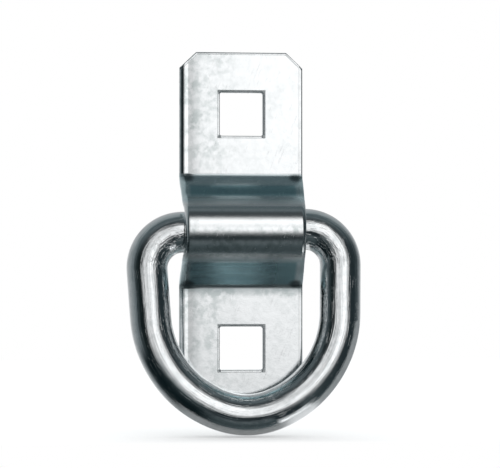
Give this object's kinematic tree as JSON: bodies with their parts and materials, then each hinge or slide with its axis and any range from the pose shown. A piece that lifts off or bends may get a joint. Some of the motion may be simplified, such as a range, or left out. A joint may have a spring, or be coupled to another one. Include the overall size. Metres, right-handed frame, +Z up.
{
  "type": "d-ring tie-down",
  "caption": "Folded steel strap bracket with square bolt holes that holds a swinging D-ring of round bar.",
  "frame": {"origin": "midway between the two bolt holes, on the mounting plane that the bracket's back lies on, behind the middle of the ring's bar", "axes": "+Z up along the strap with the ring hanging towards -Z, +Y into the surface it is bolted to so that the front faces -Y, +X across the strap"},
  "size_m": [0.0546, 0.0134, 0.0892],
  "materials": {
    "satin_zinc": "satin clear zinc plating on pressed steel strip",
    "bright_zinc": "bright clear zinc plating on drawn round bar"
  },
  "bodies": {
    "bracket": {"mounting_bracket": "satin_zinc"},
    "ring": {"d_ring": "bright_zinc"}
  },
  "joints": [
    {"name": "ring_swing", "type": "hinge", "parent": "bracket", "child": "ring", "pos_m": [0, -0.00546, 0], "axis": [-0.9996, 0, -0.0276], "range_deg": [0, 173.3]}
  ]
}
